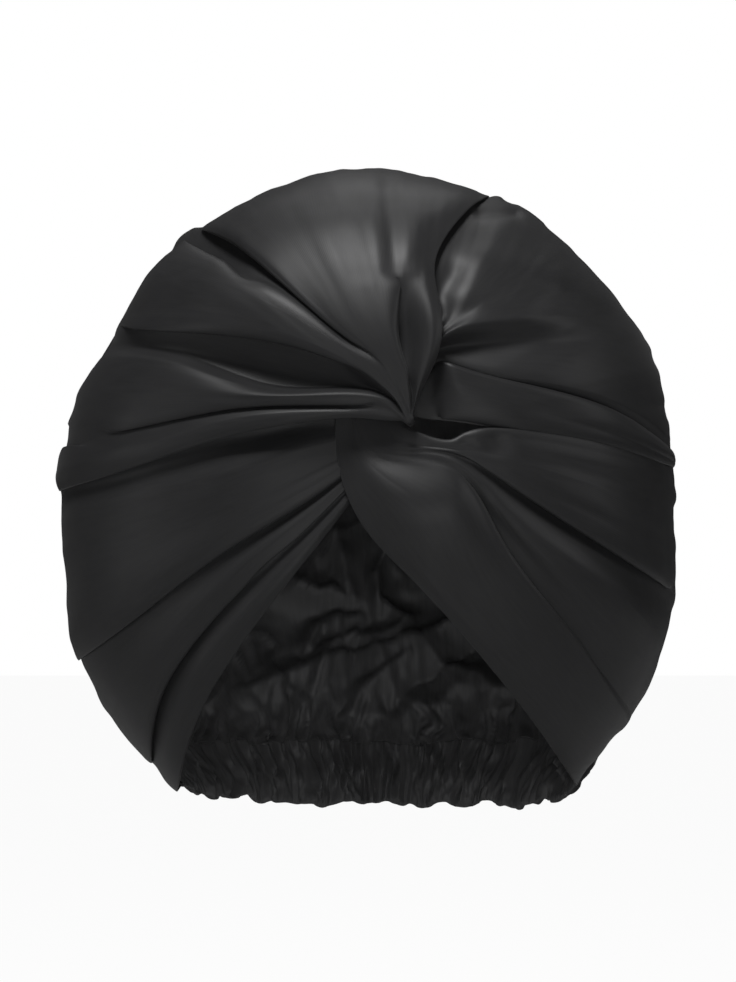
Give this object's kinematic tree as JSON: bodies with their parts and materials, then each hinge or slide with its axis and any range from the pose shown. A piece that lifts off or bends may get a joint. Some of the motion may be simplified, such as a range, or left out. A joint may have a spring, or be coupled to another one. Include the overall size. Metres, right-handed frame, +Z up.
{
  "type": "hair wrap",
  "caption": "Satin sleep bonnet with a knotted twist of pleated cloth in front, an open hollow for the head and a gathered elastic hem at the nape.",
  "frame": {"origin": "centre of the head opening, level with the nape hem, where a head fills the wrap", "axes": "+Z up through the crown, -Y out of the twisted front, +X to the right as seen from the front"},
  "size_m": [0.2698, 0.2286, 0.2808],
  "materials": {
    "outer_satin": "black polyester satin with a soft sheen",
    "lining_satin": "crumpled black satin lining",
    "gathered_satin": "black satin gathered over flat elastic"
  },
  "bodies": {
    "root": {"left_wrap_panel": "outer_satin", "right_wrap_panel": "outer_satin", "back_crown": "outer_satin", "back_lining": "lining_satin", "nape_casing": "gathered_satin"}
  },
  "joints": []
}
